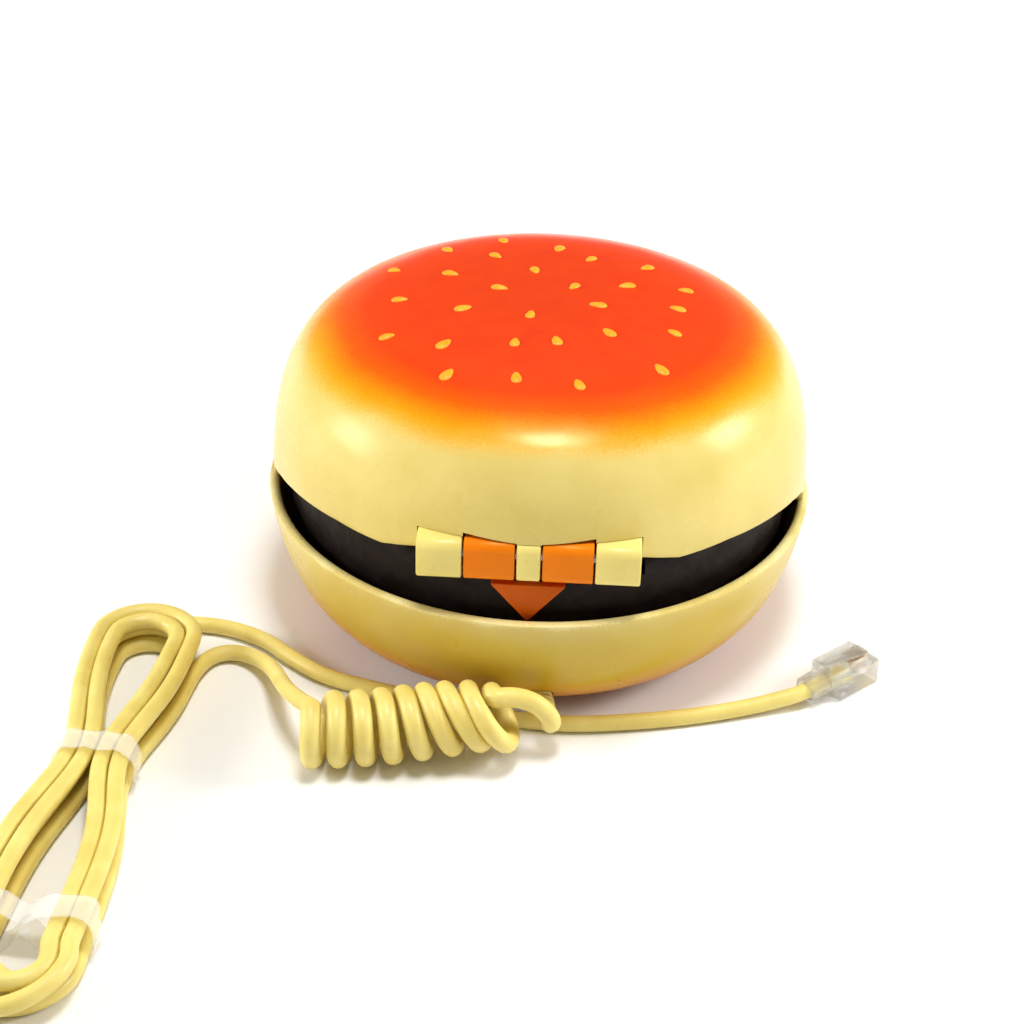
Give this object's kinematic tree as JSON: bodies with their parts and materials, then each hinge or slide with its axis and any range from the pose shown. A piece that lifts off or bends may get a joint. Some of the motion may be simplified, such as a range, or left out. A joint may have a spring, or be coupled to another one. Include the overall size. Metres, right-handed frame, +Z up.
{
  "type": "novelty shaped telephone",
  "caption": "Clamshell desk telephone shaped like a bun sandwich: hinged bun lid with earpiece, patty with keypad, round base and a line cord with modular plug.",
  "frame": {"origin": "on the table, under the middle of the round buns; the line cord isn't counted", "axes": "+Z up, -Y towards the hinge side, +X to the right when looking at the hinge"},
  "size_m": [0.1866, 0.2145, 0.0782],
  "materials": {
    "bun": "glossy moulded shell, airbrushed red-orange on the crown",
    "patty": "fine matt texture, dark brown",
    "cream": "semi-gloss cream",
    "cheese": "semi-gloss orange",
    "key": "satin",
    "plate": "satin tomato red",
    "rubber": "matt",
    "board": "solder mask over glass fibre",
    "switch": "matt",
    "steel": "zinc plated",
    "cord": "soft PVC, satin",
    "clear": "clear polycarbonate and polythene"
  },
  "bodies": {
    "base": {"ballast_plate": "steel", "base_knuckle_left": "cheese", "base_knuckle_right": "cheese", "base_screw_1": "steel", "base_screw_2": "steel", "base_screw_3": "steel", "base_screw_4": "steel", "bottom_bun_shell": "bun", "cheese_corner": "cheese", "circuit_board": "board", "cord_coil": "cord", "cord_hank": "cord", "cord_lead": "cord", "cord_link": "cord", "cord_strain_relief": "cord", "cord_tail": "cord", "cord_tie_end": "clear", "cord_tie_middle": "clear", "dial_mode_switch_body": "steel", "hinge_pin": "steel", "hook_switch_body": "switch", "keypad_membrane": "rubber", "microphone_boot": "rubber", "microphone_capsule": "steel", "modular_plug": "clear", "patty_housing": "patty", "ringer_disc": "steel", "ringer_switch_body": "steel", "rubber_foot_1": "rubber", "rubber_foot_2": "rubber", "rubber_foot_3": "rubber", "rubber_foot_4": "rubber"},
    "lid": {"top_bun_shell": "bun", "earpiece_plate": "plate", "receiver_capsule": "steel", "receiver_retainer": "patty", "lid_knuckle_left": "cream", "lid_knuckle_middle": "cream", "lid_knuckle_right": "cream", "lid_screw_1": "steel", "lid_screw_2": "steel", "lid_screw_3": "steel"},
    "key_1": {"key_1": "key"},
    "key_2": {"key_2": "key"},
    "key_3": {"key_3": "key"},
    "key_4": {"key_4": "key"},
    "key_5": {"key_5": "key"},
    "key_6": {"key_6": "key"},
    "key_7": {"key_7": "key"},
    "key_8": {"key_8": "key"},
    "key_9": {"key_9": "key"},
    "key_star": {"key_star": "key"},
    "key_0": {"key_0": "key"},
    "key_hash": {"key_hash": "key"},
    "key_redial": {"key_redial": "key"},
    "key_flash": {"key_flash": "key"},
    "hook_plunger": {"hook_plunger": "key"},
    "ringer_switch_knob": {"ringer_switch_knob": "switch"},
    "dial_mode_switch_knob": {"dial_mode_switch_knob": "switch"}
  },
  "joints": [
    {"name": "lid_hinge", "type": "hinge", "parent": "base", "child": "lid", "pos_m": [0, -0.0572, 0.0473], "axis": [1, 0, 0], "range_deg": [0, 110]},
    {"name": "hook_slide", "type": "slide", "parent": "base", "child": "hook_plunger", "axis": [0, 0, 1], "range_m": [0, 0.002]},
    {"name": "ringer_switch_slide", "type": "slide", "parent": "base", "child": "ringer_switch_knob", "axis": [0, 1, 0], "range_m": [0, 0.003]},
    {"name": "dial_mode_switch_slide", "type": "slide", "parent": "base", "child": "dial_mode_switch_knob", "axis": [0, 1, 0], "range_m": [0, 0.003]},
    {"name": "key_1_press", "type": "slide", "parent": "base", "child": "key_1", "axis": [0, 0, -1], "range_m": [0, 0.0012], "stiffness_N_per_m": 300},
    {"name": "key_2_press", "type": "slide", "parent": "base", "child": "key_2", "axis": [0, 0, -1], "range_m": [0, 0.0012], "stiffness_N_per_m": 300},
    {"name": "key_3_press", "type": "slide", "parent": "base", "child": "key_3", "axis": [0, 0, -1], "range_m": [0, 0.0012], "stiffness_N_per_m": 300},
    {"name": "key_4_press", "type": "slide", "parent": "base", "child": "key_4", "axis": [0, 0, -1], "range_m": [0, 0.0012], "stiffness_N_per_m": 300},
    {"name": "key_5_press", "type": "slide", "parent": "base", "child": "key_5", "axis": [0, 0, -1], "range_m": [0, 0.0012], "stiffness_N_per_m": 300},
    {"name": "key_6_press", "type": "slide", "parent": "base", "child": "key_6", "axis": [0, 0, -1], "range_m": [0, 0.0012], "stiffness_N_per_m": 300},
    {"name": "key_7_press", "type": "slide", "parent": "base", "child": "key_7", "axis": [0, 0, -1], "range_m": [0, 0.0012], "stiffness_N_per_m": 300},
    {"name": "key_8_press", "type": "slide", "parent": "base", "child": "key_8", "axis": [0, 0, -1], "range_m": [0, 0.0012], "stiffness_N_per_m": 300},
    {"name": "key_9_press", "type": "slide", "parent": "base", "child": "key_9", "axis": [0, 0, -1], "range_m": [0, 0.0012], "stiffness_N_per_m": 300},
    {"name": "key_star_press", "type": "slide", "parent": "base", "child": "key_star", "axis": [0, 0, -1], "range_m": [0, 0.0012], "stiffness_N_per_m": 300},
    {"name": "key_0_press", "type": "slide", "parent": "base", "child": "key_0", "axis": [0, 0, -1], "range_m": [0, 0.0012], "stiffness_N_per_m": 300},
    {"name": "key_hash_press", "type": "slide", "parent": "base", "child": "key_hash", "axis": [0, 0, -1], "range_m": [0, 0.0012], "stiffness_N_per_m": 300},
    {"name": "key_redial_press", "type": "slide", "parent": "base", "child": "key_redial", "axis": [0, 0, -1], "range_m": [0, 0.0012], "stiffness_N_per_m": 300},
    {"name": "key_flash_press", "type": "slide", "parent": "base", "child": "key_flash", "axis": [0, 0, -1], "range_m": [0, 0.0012], "stiffness_N_per_m": 300}
  ],
  "couplings": [
    {"joint": "hook_slide", "follows": "lid_hinge", "m_per_rad": 0.00104}
  ]
}
